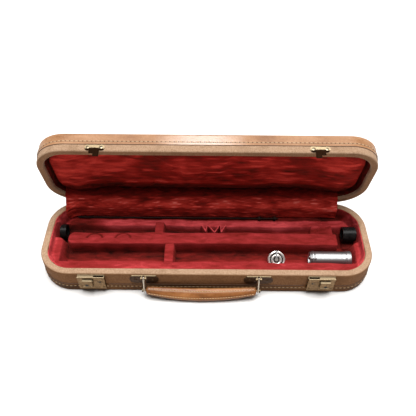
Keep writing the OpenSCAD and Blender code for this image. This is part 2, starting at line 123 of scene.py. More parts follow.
def grid_faces(nu, nv, closed_u=False, closed_v=False):
    """Quads of a grid whose vertex (i, j) is i * nv + j."""
    faces = []
    for i in range(nu if closed_u else nu - 1):
        for j in range(nv if closed_v else nv - 1):
            a, b = i, (i + 1) % nu
            c, d = j, (j + 1) % nv
            faces.append((a * nv + c, b * nv + c, b * nv + d, a * nv + d))
    return faces


def slab_from_grid(name, top, thickness, material, tone=None):
    """A closed sheet: the grid top, (nu, nv, 3), and its copy moved in by thickness."""
    nu, nv = top.shape[:2]
    du, dv = np.gradient(top, axis=0), np.gradient(top, axis=1)
    normal = np.cross(du, dv)
    normal /= np.linalg.norm(normal, axis=-1, keepdims=True) + 1e-12
    low = top - normal * thickness
    verts = np.concatenate([top.reshape(-1, 3), low.reshape(-1, 3)])
    n = nu * nv
    faces = grid_faces(nu, nv)
    faces += [tuple(v + n for v in reversed(f)) for f in grid_faces(nu, nv)]
    edge = [i * nv for i in range(nu)]
    edge += [(nu - 1) * nv + j for j in range(1, nv)]
    edge += [i * nv + nv - 1 for i in range(nu - 2, -1, -1)]
    edge += [j for j in range(nv - 2, 0, -1)]
    for a, b in zip(edge, edge[1:] + edge[:1]):
        faces.append((b, a, a + n, b + n))
    if tone is not None:
        tone = np.concatenate([np.ravel(tone)] * 2)
    return new_object(name, verts, faces, material, tone)


def tube(name, path, radius, material, sides=10, closed=False):
    """A round tube along a path, with its ends closed. radius is one number or one for each point."""
    path = np.asarray(path, float)
    n = len(path)
    radius = np.broadcast_to(np.asarray(radius, float), (n,))
    ahead = np.roll(path, -1, 0) - np.roll(path, 1, 0)
    if not closed:
        ahead[0], ahead[-1] = path[1] - path[0], path[-1] - path[-2]
    ahead /= np.linalg.norm(ahead, axis=1, keepdims=True)
    side = np.cross(ahead[0], (0.31, 0.17, 0.93))
    verts = []
    for i in range(n):
        side = side - ahead[i] * (side @ ahead[i])
        side /= np.linalg.norm(side)
        other = np.cross(ahead[i], side)
        for k in range(sides):
            a = 2 * math.pi * k / sides
            verts.append(path[i] + radius[i] * (math.cos(a) * side + math.sin(a) * other))
    faces = grid_faces(n, sides, closed_u=closed, closed_v=True)
    if not closed:
        faces += [tuple(reversed(range(sides))), tuple((n - 1) * sides + k for k in range(sides))]
    return new_object(name, verts, faces, material)


def outline(inset, count=400):
    """Points evenly spaced round the case's outline, moved in by inset, with the outward normals."""
    r = CORNER_R - inset
    x, y = HALF_L - CORNER_R, HALF_W - CORNER_R
    runs = [2 * x, math.pi * r / 2, 2 * y, math.pi * r / 2] * 2
    total = sum(runs)
    points, normals = [], []
    for k in range(count):
        s = total * k / count
        for i, run in enumerate(runs):
            if s < run or i == len(runs) - 1:
                break
            s -= run
        turn = (i // 2) * math.pi / 2 - math.pi / 2
        if i % 2 == 0:
            n = np.array([math.cos(turn), math.sin(turn)])
            along = np.array([-n[1], n[0]])
            half = x if i % 4 == 0 else y
            reach = HALF_W - inset if i % 4 == 0 else HALF_L - inset
            p = n * reach + along * (s - half)
        else:
            a = turn + s / r
            n = np.array([math.cos(a), math.sin(a)])
            corner = np.array([math.cos(turn) - math.sin(turn), math.sin(turn) + math.cos(turn)])
            p = np.sign(np.round(corner)) * (x, y) + n * r
        points.append(p)
        normals.append(n)
    return np.array(points), np.array(normals)


def inside_grid(inset, nu, nv):
    """A grid over the inside of the outline: x and y, and the distance in from its edge."""
    r = CORNER_R - inset
    end = HALF_L - inset
    x = np.repeat(end * np.linspace(-1, 1, nu)[:, None], nv, 1)
    over = np.clip(abs(x) - (HALF_L - CORNER_R), 0, r)
    half = HALF_W - CORNER_R + np.sqrt(np.maximum(r * r - over * over, 0))
    y = half * np.linspace(-1, 1, nv)[None, :]
    cx = np.maximum(abs(x) - (HALF_L - CORNER_R), 0)
    cy = np.maximum(abs(y) - (HALF_W - CORNER_R), 0)
    depth = np.where(
        (cx > 0) & (cy > 0),
        r - np.hypot(cx, cy),
        np.minimum(end - abs(x), HALF_W - inset - abs(y)),
    )
    return x, y, np.maximum(depth, 0)


def resample(grid, nu, nv):
    """The grid (a, b, 3) read at nu by nv evenly spaced places."""
    a, b = grid.shape[:2]
    rows = np.stack([[np.interp(np.linspace(0, a - 1, nu), np.arange(a), grid[:, j, k])
                      for j in range(b)] for k in range(3)], -1)
    return np.stack([[np.interp(np.linspace(0, b - 1, nv), np.arange(b), rows[:, i, k])
                      for i in range(nu)] for k in range(3)], -1)


def cloth_pass(top, cap, grow, pressure=0.0, coarse=(150, 44)):
    """How far a slightly oversized cloth, held at its border, moves off the grid: at most cap."""
    nu, nv = coarse
    start = resample(top, nu, nv)
    piece = new_object("cloth_trial", start.reshape(-1, 3), grid_faces(nu, nv), BOARD)
    held = piece.vertex_groups.new(name="held")
    border = [i * nv + j for i in range(nu) for j in range(nv) if i in (0, nu - 1) or j in (0, nv - 1)]
    held.add(border, 1.0, "REPLACE")
    cloth = piece.modifiers.new("cloth", "CLOTH")
    cloth.settings.quality = 5
    cloth.settings.vertex_group_mass = "held"
    cloth.settings.shrink_min = -grow
    cloth.settings.use_pressure = pressure != 0
    cloth.settings.uniform_pressure_force = pressure
    cloth.settings.effector_weights.gravity = 0
    cloth.settings.bending_stiffness = 0.05
    cloth.point_cache.frame_start = 1
    cloth.point_cache.frame_end = CLOTH_FRAMES
    scene = bpy.context.scene
    for f in range(1, CLOTH_FRAMES + 1):
        scene.frame_set(f)
    mesh = piece.evaluated_get(bpy.context.evaluated_depsgraph_get()).to_mesh()
    end = np.empty(nu * nv * 3)
    mesh.vertices.foreach_get("co", end)
    scene.frame_set(1)
    bpy.data.objects.remove(piece)
    move = end.reshape(nu, nv, 3) - start
    length = np.linalg.norm(move, axis=-1, keepdims=True)
    move = move * np.minimum(1, cap / np.maximum(length, 1e-9))
    return resample(move, *top.shape[:2])


# ---- material helpers ----


class Shader:
    """A material with a Principled shader and short ways to add nodes."""

    def __init__(self, name, roughness, metallic=0.0, **inputs):
        self.material = bpy.data.materials.new(name)
        self.material.use_nodes = True
        self.tree = self.material.node_tree
        self.bsdf = self.tree.nodes["Principled BSDF"]
        self.bsdf.inputs["Roughness"].default_value = roughness
        self.bsdf.inputs["Metallic"].default_value = metallic
        for key, value in inputs.items():
            self.bsdf.inputs[key.replace("_", " ")].default_value = value
        self.coord = self.tree.nodes.new("ShaderNodeTexCoord").outputs["Object"]

    def link(self, source, target):
        self.tree.links.new(source, target)

    def stretched(self, x=1.0, y=1.0, z=1.0):
        node = self.tree.nodes.new("ShaderNodeMapping")
        node.inputs["Scale"].default_value = (x, y, z)
        self.link(self.coord, node.inputs["Vector"])
        return node.outputs["Vector"]

    def along(self, direction):
        """How far a point lies along a direction."""
        node = self.tree.nodes.new("ShaderNodeVectorMath")
        node.operation = "DOT_PRODUCT"
        node.inputs[1].default_value = direction
        self.link(self.coord, node.inputs[0])
        return node.outputs["Value"]

    def noise(self, size, detail=3.0, rough=0.55, vector=None, distortion=0.0):
        """Noise with features of about that size, in metres."""
        node = self.tree.nodes.new("ShaderNodeTexNoise")
        node.inputs["Scale"].default_value = 1 / size
        node.inputs["Detail"].default_value = detail
        node.inputs["Roughness"].default_value = rough
        node.inputs["Distortion"].default_value = distortion
        self.link(vector or self.coord, node.inputs["Vector"])
        return node.outputs["Fac"]

    def cells(self, size, vector=None, feature="F1"):
        node = self.tree.nodes.new("ShaderNodeTexVoronoi")
        node.feature = feature
        node.inputs["Scale"].default_value = 1 / size
        self.link(vector or self.coord, node.inputs["Vector"])
        return node.outputs["Distance"]

    def threads(self, pitch, vector, distortion=0.6):
        """Ridges a pitch apart along the vector's x."""
        node = self.tree.nodes.new("ShaderNodeTexWave")
        node.bands_direction = "X"
        node.inputs["Scale"].default_value = 2 * math.pi / (20 * pitch)
        node.inputs["Distortion"].default_value = distortion
        node.inputs["Detail"].default_value = 1.0
        self.link(vector, node.inputs["Vector"])
        return node.outputs["Fac"]

    def math(self, operation, a, b=0.0):
        node = self.tree.nodes.new("ShaderNodeMath")
        node.operation = operation
        for socket, value in zip(node.inputs, (a, b)):
            if isinstance(value, (int, float)):
                socket.default_value = value
            else:
                self.link(value, socket)
        return node.outputs[0]

    def ramp(self, fac, *stops):
        """stops are (position, colour or grey)."""
        node = self.tree.nodes.new("ShaderNodeValToRGB")
        while len(node.color_ramp.elements) < len(stops):
            node.color_ramp.elements.new(0.5)
        for element, (position, colour) in zip(node.color_ramp.elements, stops):
            element.position = position
            if isinstance(colour, (int, float)):
                colour = (colour,) * 3
            element.color = (*colour, 1)
        self.link(fac, node.inputs["Fac"])
        return node.outputs["Color"]

    def mix(self, fac, a, b, blend="MIX"):
        node = self.tree.nodes.new("ShaderNodeMix")
        node.data_type = "RGBA"
        node.blend_type = blend
        for socket, value in zip((node.inputs[0], node.inputs[6], node.inputs[7]), (fac, a, b)):
            if isinstance(value, (int, float)):
                socket.default_value = value
            elif isinstance(value, tuple):
                socket.default_value = (*value, 1)
            else:
                self.link(value, socket)
        return node.outputs[2]

    def colour(self, value):
        self.link(value, self.bsdf.inputs["Base Color"])
        return self

    def roughness(self, value):
        self.link(value, self.bsdf.inputs["Roughness"])
        return self

    def bump(self, height, depth, strength=1.0, under=None):
        """depth is the height of the relief in metres. under is an earlier bump."""
        node = self.tree.nodes.new("ShaderNodeBump")
        node.inputs["Distance"].default_value = depth
        node.inputs["Strength"].default_value = strength
        self.link(height, node.inputs["Height"])
        if under is not None:
            self.link(under, node.inputs["Normal"])
        self.link(node.outputs["Normal"], self.bsdf.inputs["Normal"])
        return node.outputs["Normal"]


# ---- materials ----


def plush(name, dark, mid, light, fresh_and_lit):
    """Short pile: its tone attribute says how light it is, from fresh or crushed pile and from painted
    light and shade.
    """
    s = Shader(name, 0.95, Sheen_Weight=0.10, Sheen_Roughness=0.5, Specular_IOR_Level=0.08)
    s.bsdf.inputs["Sheen Tint"].default_value = (0.9, 0.10, 0.07, 1)
    tone = s.tree.nodes.new("ShaderNodeAttribute")
    tone.attribute_name = "tone"
    tone = tone.outputs["Fac"]
    streaks = s.noise(7 * MM, 5, 0.65, s.stretched(0.35, 1, 1), 1.0)
    both = s.math("ADD", s.math("MULTIPLY", tone, 0.47), s.math("MULTIPLY", streaks, 0.47))
    base = s.ramp(both, (0.19, dark), (0.43, mid), (0.67, light), (0.95, fresh_and_lit))
    pile = s.noise(0.7 * MM, 2, 0.6)
    s.colour(s.mix(0.45, base, s.ramp(pile, (0.3, 0.3), (0.7, 0.75)), "OVERLAY"))
    fine = s.bump(pile, 0.3 * MM, 0.7)
    s.bump(streaks, 1.1 * MM, 0.55, fine)
    return s.material


def tweed(name, pale, mid, dark, soil, up, edge, tint):
    """Fine cloth. Below the height edge, measured along up, it is tinted with painted shade."""
    s = Shader(name, 0.95, Sheen_Weight=0.03, Specular_IOR_Level=0.06)
    warp = s.threads(1.1 * MM, s.stretched(1, 0, 0), 1.2)
    upright = s.tree.nodes.new("ShaderNodeCombineXYZ")
    s.link(s.along((0, 1, 1)), upright.inputs[0])
    weft = s.threads(1.0 * MM, upright.outputs[0], 1.2)
    weave = s.math("MULTIPLY", s.math("ADD", warp, 0.4), s.math("ADD", weft, 0.4))
    slubs = s.noise(1.3 * MM, 3, 0.75)
    fade = s.noise(26 * MM, 4, 0.6)
    base = s.ramp(slubs, (0.30, dark), (0.5, mid), (0.70, pale))
    base = s.mix(0.4, base, s.ramp(weave, (0.1, 0.35), (1.2, 0.7)), "OVERLAY")
    base = s.mix(s.ramp(fade, (0.52, 0.0), (0.8, 0.55)), base, soil)
    height = s.along(up)
    below = s.math("MULTIPLY", s.math("SUBTRACT", edge, height), 1 / MM)
    below = s.ramp(below, (0.0, 0.0), (1.0, 1.0))
    s.colour(s.mix(below, base, s.mix(1.0, base, tint, "MULTIPLY")))
    s.bump(weave, 0.2 * MM, 0.6)
    return s.material


def leather(name, dark, mid, light, gloss, grain=1.1 * MM, shine=0.15, polished=None):
    """Grained leather. polished is the (x, reach) of a place that handling has polished."""
    s = Shader(name, gloss, Specular_IOR_Level=shine, Coat_Weight=0.0, Coat_Roughness=0.2, Coat_IOR=1.9)
    tone = s.noise(18 * MM, 5, 0.6, s.stretched(0.4, 1, 1), 0.4)
    fine = s.noise(2.4 * MM, 4, 0.7)
    both = s.math("ADD", s.math("MULTIPLY", tone, 0.7), s.math("MULTIPLY", fine, 0.3))
    base = s.ramp(both, (0.36, dark), (0.5, mid), (0.66, light))
    pores = s.cells(grain)
    base = s.mix(0.35, base, s.ramp(pores, (0.0, 0.75), (0.5, 0.4)), "OVERLAY")
    s.colour(base)
    s.roughness(s.ramp(fine, (0.3, gloss - 0.1), (0.7, gloss + 0.16)))
    if polished:
        away = s.math("ABSOLUTE", s.math("SUBTRACT", s.along((1, 0, 0)), polished[0]))
        away = s.math("MULTIPLY", away, 1 / polished[1])
        coat = s.ramp(s.math("ADD", away, s.math("MULTIPLY", fine, 0.2)), (0.35, 0.9), (1.0, 0.0))
        s.link(coat, s.bsdf.inputs["Coat Weight"])
    first = s.bump(pores, 0.12 * MM, 0.6)
    s.bump(tone, 0.6 * MM, 0.4, first)
    return s.material


def metal(name, clean, tarnish, share, roughness, spots=3 * MM, painted_top_light=None, vary=0.25):
    """Plated metal: share is how much of it is tarnished, and the colour given for faces that turn up is
    painted light.
    """
    s = Shader(name, roughness, 1.0)
    stain = s.noise(spots, 6, 0.65, distortion=0.5)
    cut = 1 - share
    base = s.ramp(stain, (max(cut - 0.2, 0.0), clean), (min(cut + 0.2, 1.0), tarnish))
    if painted_top_light:
        # painted light: lighter where the face turns up
        facing = s.tree.nodes.new("ShaderNodeNewGeometry").outputs["Normal"]
        split = s.tree.nodes.new("ShaderNodeSeparateXYZ")
        s.link(facing, split.inputs[0])
        base = s.mix(s.ramp(split.outputs["Z"], (0.35, 0.0), (0.7, 1.0)), base, painted_top_light)
    s.colour(base)
    s.roughness(s.ramp(stain, (0.35, roughness), (0.75, min(roughness + vary, 0.9))))
    if vary > 0.1:
        s.bump(s.noise(1.5 * MM, 3, 0.6), 0.02 * MM, 0.3)
    return s.material


def strike_metal():
    """Painted light on the screwed part of the strike, and painted shade on its tongue."""
    s = Shader("brass_strike", 0.36, 1.0)
    above = s.math("SUBTRACT", s.along(LID_UP), LID_EDGE)
    scaled = s.math("MULTIPLY", above, 1 / (10 * MM))
    stain = s.noise(2 * MM, 5, 0.65)
    lit = s.math("ADD", scaled, s.math("MULTIPLY", s.math("SUBTRACT", stain, 0.5), 0.25))
    s.colour(s.ramp(lit, (0.30, (0.0060, 0.0026, 0.0012)), (0.42, (0.20, 0.155, 0.095))))
    s.roughness(s.ramp(stain, (0.35, 0.3), (0.75, 0.5)))
    s.bump(s.noise(1.5 * MM, 3, 0.6), 0.02 * MM, 0.3)
    return s.material


def key_silver():
    """The key cup's silver, blackened in the grooves between its rings."""
    s = Shader("silver_key", 0.34, 1.0)
    low, high = (np.array(c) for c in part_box("key_pad"))
    nodes = [s.tree.nodes.new("ShaderNodeVectorMath") for _ in range(3)]
    for node, operation in zip(nodes, ("SUBTRACT", "CROSS_PRODUCT", "LENGTH")):
        node.operation = operation
    nodes[0].inputs[1].default_value = (low + high) / 2
    nodes[1].inputs[1].default_value = (0, -math.sin(KEY_TILT), math.cos(KEY_TILT))
    s.link(s.coord, nodes[0].inputs[0])
    s.link(nodes[0].outputs["Vector"], nodes[1].inputs[0])
    s.link(nodes[1].outputs["Vector"], nodes[2].inputs[0])
    out = s.math("MULTIPLY", nodes[2].outputs["Value"], 1 / KEY_R)
    stain = s.noise(3 * MM, 4, 0.6)
    out = s.math("ADD", out, s.math("MULTIPLY", s.math("SUBTRACT", stain, 0.5), 0.10))
    bright, grey, black = (0.90, 0.88, 0.86), (0.45, 0.42, 0.40), (0.020, 0.014, 0.012)
    s.colour(s.ramp(out, (0.10, grey), (0.20, grey), (0.24, black), (0.38, black), (0.42, bright),
                    (0.60, bright), (0.65, black), (0.77, black), (0.81, bright)))
    s.bump(stain, 0.05 * MM, 0.2)
    return s.material


def thread(name, colour, shade):
    s = Shader(name, 0.7)
    s.colour(s.ramp(s.noise(0.6 * MM, 2), (0.35, shade), (0.65, colour)))
    s.bump(s.noise(0.35 * MM, 2), 0.08 * MM, 0.6)
    return s.material


def hard_rubber(name, gloss=0.3, shade=(0.012, 0.010, 0.010)):
    s = Shader(name, gloss, Specular_IOR_Level=0.08)
    wear = s.noise(5 * MM, 5, 0.7)
    s.colour(s.ramp(wear, (0.4, (0.003, 0.003, 0.003)), (0.75, shade)))
    s.roughness(s.ramp(wear, (0.35, gloss), (0.75, gloss + 0.12)))
    s.bump(s.noise(0.9 * MM, 3), 0.05 * MM, 0.5)
    return s.material


def pressed_board(name):
    s = Shader(name, 0.8)
    fibre = s.noise(1.5 * MM, 5, 0.7, s.stretched(0.3, 1, 1))
    s.colour(s.ramp(fibre, (0.35, (0.10, 0.055, 0.03)), (0.65, (0.28, 0.17, 0.09))))
    s.bump(fibre, 0.3 * MM, 0.5)
    return s.material


BASE_PLUSH = plush("plush_base", (0.014, 0.0018, 0.0010), (0.105, 0.0064, 0.0050), (0.210, 0.0165, 0.0178),
                   (0.47, 0.058, 0.064))
LID_PLUSH = plush("plush_lid", (0.036, 0.0060, 0.0028), (0.23, 0.0105, 0.0070), (0.50, 0.036, 0.026),
                  (0.66, 0.09, 0.07))
GUSSET_PLUSH = plush("plush_gusset", (0.036, 0.0040, 0.0022), (0.23, 0.0115, 0.0080), (0.46, 0.038, 0.028),
                     (0.62, 0.12, 0.10))
LID_UP = (0, math.sin(LID_OPEN), math.cos(LID_OPEN))
LID_EDGE = HINGE[1] * LID_UP[1] + HINGE[2] * LID_UP[2]
CLOTH_TONES = ((0.38, 0.262, 0.182), (0.285, 0.185, 0.118), (0.18, 0.112, 0.065), (0.13, 0.072, 0.036))
# painted shade below the rim: on the base's walls, and on the lid's rim face and inner rim
BASE_TWEED = tweed("tweed_base", *CLOTH_TONES, (0, 0, 1), RIM_Z - 0.4 * MM, (0.58, 0.41, 0.27))
LID_TWEED = tweed("tweed_lid", *CLOTH_TONES, LID_UP, LID_EDGE + 0.8 * MM, (0.63, 0.42, 0.25))
LID_LEATHER = leather("binding_leather_lid", (0.19, 0.085, 0.036), (0.285, 0.145, 0.070),
                      (0.36, 0.20, 0.11), 0.40, shine=0.2, polished=(-8 * MM, 62 * MM))
# a darker copy of the binding leather, for the base's wall: painted shade
BASE_LEATHER = leather("binding_leather_base", (0.055, 0.021, 0.005), (0.10, 0.040, 0.011),
                       (0.16, 0.068, 0.020), 0.5, shine=0.06)
GRIP_LEATHER = leather("grip_leather_worn", (0.075, 0.025, 0.007), (0.185, 0.066, 0.018),
                       (0.28, 0.118, 0.040), 0.34, 1.6 * MM, shine=0.3)
BRASS = metal("brass_tarnished", (0.24, 0.145, 0.064), (0.075, 0.040, 0.016), 0.5, 0.38,
              painted_top_light=(0.24, 0.185, 0.115))
# a darker copy of the brass for the front hardware: painted shade
SHADED_BRASS = metal("brass_painted_shade", (0.060, 0.028, 0.012), (0.020, 0.009, 0.004), 0.5, 0.42,
                   painted_top_light=(0.20, 0.15, 0.09))
STRIKE = strike_metal()
BRIGHT_BRASS = metal("brass_worn_bright", (0.20, 0.165, 0.11), (0.05, 0.035, 0.018), 0.35, 0.3)
NICKEL = metal("nickel_dull", (0.52, 0.46, 0.38), (0.22, 0.17, 0.12), 0.4, 0.3)
SILVER = metal("silver_polished", (0.36, 0.36, 0.37), (0.27, 0.26, 0.26), 0.2, 0.42, 12 * MM, vary=0.03)
KEY_SILVER = key_silver()
PAD = leather("pad_skin_pale", (0.40, 0.33, 0.24), (0.52, 0.45, 0.34), (0.62, 0.57, 0.46), 0.5)
RUBBER = hard_rubber("hard_rubber_black")
BOARD = pressed_board("pressed_board_brown")
THREAD = thread("thread_waxed", (0.46, 0.34, 0.22), (0.34, 0.22, 0.12))
THREAD_PALE = thread("thread_pale", (0.62, 0.44, 0.25), (0.42, 0.27, 0.13))
THREAD_DARK = thread("thread_dark", (0.34, 0.22, 0.11), (0.20, 0.12, 0.06))
# painted shade in the stitch holes
STITCH_HOLE_SHADE = thread("stitch_hole", (0.05, 0.022, 0.010), (0.02, 0.010, 0.005))
# painted shade inside the latch holes
HOLE_SHADE = thread("grime_black", (0.010, 0.006, 0.004), (0.004, 0.003, 0.002))
EDGE = thread("leather_edge_stained", (0.10, 0.045, 0.02), (0.05, 0.02, 0.01))
ROD = hard_rubber("rod_lacquer_dark", 0.6, (0.030, 0.008, 0.004))

CAD_LOOKS = {
    "base_shell": BOARD, "lid_shell": BOARD,
    "base_cloth": BASE_TWEED, "base_bottom_cloth": BASE_TWEED,
    "lid_cloth": LID_TWEED, "lid_top_cloth": LID_TWEED,
    "base_binding": BASE_LEATHER, "lid_binding": LID_LEATHER,
    "handle_loop_left": NICKEL, "handle_loop_right": NICKEL,
    "barrel_tube": SILVER, "barrel_rings": SILVER, "barrel_post": SILVER,
    "key_cup": KEY_SILVER, "key_arm": SILVER, "key_pad": PAD,
    "tenon_cap_right": RUBBER, "tenon_cap_left": RUBBER,
    "rod_shaft": ROD, "rod_beads": ROD,
    "strike_screws": BRIGHT_BRASS, "strike_left": STRIKE, "strike_right": STRIKE,
    "handle_plate_left": SHADED_BRASS, "handle_plate_right": SHADED_BRASS,
    "handle_rivets": SHADED_BRASS, "handle_grip_pins": SHADED_BRASS,
    "latch_bolt_left": SHADED_BRASS, "latch_bolt_right": SHADED_BRASS,
}
BEVELS = {"latch": 0.25 * MM, "strike": 0.2 * MM, "handle_plate": 0.25 * MM, "hinge_base": 0.15 * MM,
          "hinge_lid": 0.15 * MM}


def dress_cad_nodes():
    for name, node in frame["nodes"].items():
        look = CAD_LOOKS.get(name, BRASS)
        node.data.materials.clear()
        node.data.materials.append(look)
        for start, width in BEVELS.items():
            if name.startswith(start):
                bevel = node.modifiers.new("soft_edges", "BEVEL")
                bevel.width = width
                bevel.segments = 2
                bevel.limit_method = "ANGLE"
                bevel.angle_limit = math.radians(40)


dress_cad_nodes()


# ---- the base's plush bed ----

def corners(node):
    """The low and the high corner of a CAD node's box."""
    return [np.array(c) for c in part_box(node)]


FLOOR_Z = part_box("floor_pad")[1].z
RIDGE = corners("centre_ridge")
LIP = corners("front_lip")
SHELF = corners("rear_shelf")
DIVIDER = corners("well_divider")
BRIDGE = corners("slot_bridge_left")
FOLDS = corners("slot_bridge_middle")
RAMP = corners("slot_ramp_right")
END_LEFT = corners("end_block_left")
END_RIGHT = corners("end_block_right")
END_RIGHT_X = 188 * MM
CAP = corners("tenon_cap_right")
DENTS_X = (-146.6 * MM, -109.8 * MM)
CONTENTS = ("barrel_tube", "barrel_rings", "key_cup", "key_pad", "tenon_cap_right", "tenon_cap_left",
            "rod_shaft", "rod_beads")


def inward(x, y, box, open_sides="", corner=2 * MM, left_corner=None):
    """Distance inside a block's outline. Its open sides run on into their neighbours."""
    (x0, y0, _), (x1, y1, _) = box
    far = 30 * MM
    x0 -= far if "l" in open_sides else 0
    x1 += far if "r" in open_sides else 0
    y0 -= far if "f" in open_sides else 0
    y1 += far if "b" in open_sides else 0
    cx, cy = (x0 + x1) / 2, (y0 + y1) / 2
    r = np.where(x < cx, corner if left_corner is None else left_corner, corner)
    qx, qy = abs(x - cx) - ((x1 - x0) / 2 - r), abs(y - cy) - ((y1 - y0) / 2 - r)
    return r - np.hypot(np.maximum(qx, 0), np.maximum(qy, 0)) - np.minimum(np.maximum(qx, qy), 0)


def bed_blocks(x, y):
    """Height of the plush over the blocks that shape the wells and the slot."""

    def deeper(box, front, back):
        return [box[0] + (0, front, 0), box[1] + (0, back, 0)]

    cove = [LIP[0], np.array([LIP[1][0], LIP[1][1], FLOOR_Z + 10 * MM])]
    end_right = [np.array([END_RIGHT_X, END_RIGHT[0][1], 0]), np.array([1, 3 * MM, END_RIGHT[1][2]])]
    cap_seat = [np.array([CAP[0][0], 0, 0]), np.array([1, 28 * MM, CAP[0][2] - 0.9 * MM])]
    blocks = [
        (LIP, 2.4 * MM, {"open_sides": "lrf"}),
        (cove, 20 * MM, {"open_sides": "lrf"}),
        (RIDGE, 2.6 * MM, {"corner": 3 * MM, "left_corner": 9 * MM}),
        (SHELF, 3 * MM, {"open_sides": "lrb"}),
        (deeper(DIVIDER, -2 * MM, 2 * MM), 3 * MM, {}),
        (deeper(BRIDGE, -2 * MM, 1.2 * MM), 3 * MM, {}),
        (deeper(RAMP, -2 * MM, 1.2 * MM), 3 * MM, {}),
        (END_LEFT, 8 * MM, {"open_sides": "lf", "corner": 10 * MM}),
        (end_right, 7 * MM, {"open_sides": "rf", "corner": 10 * MM}),
        (cap_seat, 2 * MM, {"open_sides": "r"}),
    ]
    top = np.full_like(x, FLOOR_Z)
    for box, soft, outline_kind in blocks:
        share = ease(inward(x, y, box, **outline_kind), -soft / 2, soft / 2)
        top = np.maximum(top, FLOOR_Z + (box[1][2] - FLOOR_Z) * share)
    # the ramp falls away to the left
    slope = 0.4 + 0.6 * ease(x, RAMP[0][0], RAMP[1][0])
    ramp_top = np.minimum(top, FLOOR_Z + (RAMP[1][2] - FLOOR_Z) * slope)
    return np.where(inward(x, y, RAMP) > 0, ramp_top, top)


def bed_tone(x, y, depth, top, wall, high, at_end):
    """How fresh the pile is, with painted light and shade. high is 1 on the blocks, and at_end is 1 by the
    ends of the case.
    """
    # painted shade deep in the wells by the ridge and in the slot, painted light on the wells' front part
    # and on the block tops
    in_front = 1 - ease(y, -12 * MM, -4 * MM)
    wells = 0.20 + 0.95 * (1 - ease(y, -31 * MM, -14 * MM)) + 0.12 * ease(x, 0.0, 100 * MM)
    slot = 0.05 + 0.25 * ease(x, -30 * MM, 60 * MM)
    floor_tone = in_front * wells + (1 - in_front) * slot
    fresh_and_lit = floor_tone + (0.80 - floor_tone) * high
    # painted light on the shelf in front of the rod; painted shade behind it, under the hanging lining,
    # and at its left end; darker towards its right end
    shelf = ease(y, 29.5 * MM, 31.5 * MM)
    on_shelf = 1.45 - 1.1 * ease(y, 41.3 * MM, 43.3 * MM)
    on_shelf = on_shelf * (0.2 + 0.8 * ease(x, -160 * MM, -130 * MM))
    on_shelf = on_shelf - 0.25 * ease(x, 100 * MM, 125 * MM)
    fresh_and_lit = fresh_and_lit * (1 - shelf) + on_shelf * shelf
    # painted light on the lining up the walls, and on the roll at the ends
    on_wall = (0.92 + 0.5 * at_end) * ease(wall, FLOOR_Z + 9 * MM, RIM_Z - 5 * MM)
    fresh_and_lit = np.maximum(fresh_and_lit, on_wall * (1 - 0.25 * shelf))
    end_roll = 0.62 + 0.4 * (1 - ease(depth, 4 * MM, 10 * MM))
    end_roll = at_end * end_roll * ease(top, FLOOR_Z + 4 * MM, FLOOR_Z + 12 * MM)
    fresh_and_lit = np.maximum(fresh_and_lit, end_roll)
    # painted shade towards the back, under the open lid
    return fresh_and_lit * (0.86 + 0.14 * (1 - ease(y, -40 * MM, 10 * MM)))


def bed_height(x, y, depth):
    """Height of the plush over the base, and its tone: how fresh its pile is, with painted light and
    shade.
    """
    blocks = bed_blocks(x, y)
    high = ease(blocks, FLOOR_Z + 4 * MM, FLOOR_Z + 15 * MM)
    # the lining climbs the wall to the rim, in a roll that is softer at the ends
    at_end = ease(abs(x), 176 * MM, 192 * MM)
    up_wall = 1 - ease(depth, 0, (2.7 + 4.5 * at_end) * MM)
    wall = (RIM_Z - 1.0 * MM - FLOOR_Z) * up_wall + FLOOR_Z
    top = np.maximum(blocks, wall)
    fresh_and_lit = bed_tone(x, y, depth, top, wall, high, at_end)
    # soft lumps, creases along the case, and the dents two keys left in the ridge, with painted shade in
    # their rings
    top = top + (0.25 + 0.35 * high) * MM * waves(x, y, 24 * MM, 3, stretch=2.5)
    top = top + 0.22 * MM * waves(x, y, 7 * MM, 4, stretch=2.2)
    for middle in DENTS_X:
        r = np.hypot((x - middle) / (10 * MM), (y - 3 * MM) / (8 * MM))
        ring = np.exp(-(((r - 1) / 0.13) ** 2)) * (y > 3 * MM)
        top = top - 1.5 * MM * ring
        fresh_and_lit = fresh_and_lit * (1 - 0.75 * ring)
    fresh_and_lit = fresh_and_lit + 0.13 * waves(x, y, 30 * MM, 5, stretch=2.5)
    fresh_and_lit = fresh_and_lit + 0.11 * waves(x, y, 6 * MM, 6, stretch=4)
    return top, np.clip(fresh_and_lit, 0, 1.6)


def clear_of_contents(x, y, z):
    """Keeps the plush under and beside the small things that lie in it."""
    for node in CONTENTS:
        low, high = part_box(node)
        inside = inward(x, y, [np.array(low), np.array(high)])
        room = low.z - 0.45 * MM + np.maximum(-inside, 0) * 12
        z = np.where(inside > -4 * MM, np.minimum(z, np.maximum(room, FLOOR_Z - 1 * MM)), z)
    return z


def plush_bed():
    x, y, depth = inside_grid(RIM_W + 0.3 * MM, 560, 190)
    z, fresh_and_lit = bed_height(x, y, depth)
    top = np.stack([x, y, z], -1)
    top = top + cloth_pass(top, 1.1 * MM, 0.05)
    top[..., 2] = clear_of_contents(top[..., 0], top[..., 1], top[..., 2])
    bed = slab_from_grid("plush_bed", top, 0.9 * MM, BASE_PLUSH, fresh_and_lit)
    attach(bed, "base")
    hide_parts("base_lining", "floor_pad", "front_lip", "centre_ridge", "rear_shelf",
                "well_divider", "slot_bridge_left", "slot_ramp_right", "end_block_left",
                "end_block_right")


plush_bed()


FOLD_SHIFT = (0, 1.8, -1.2, 0.9, 1.6, -1.4, 0)      # mm, so that the folds are uneven


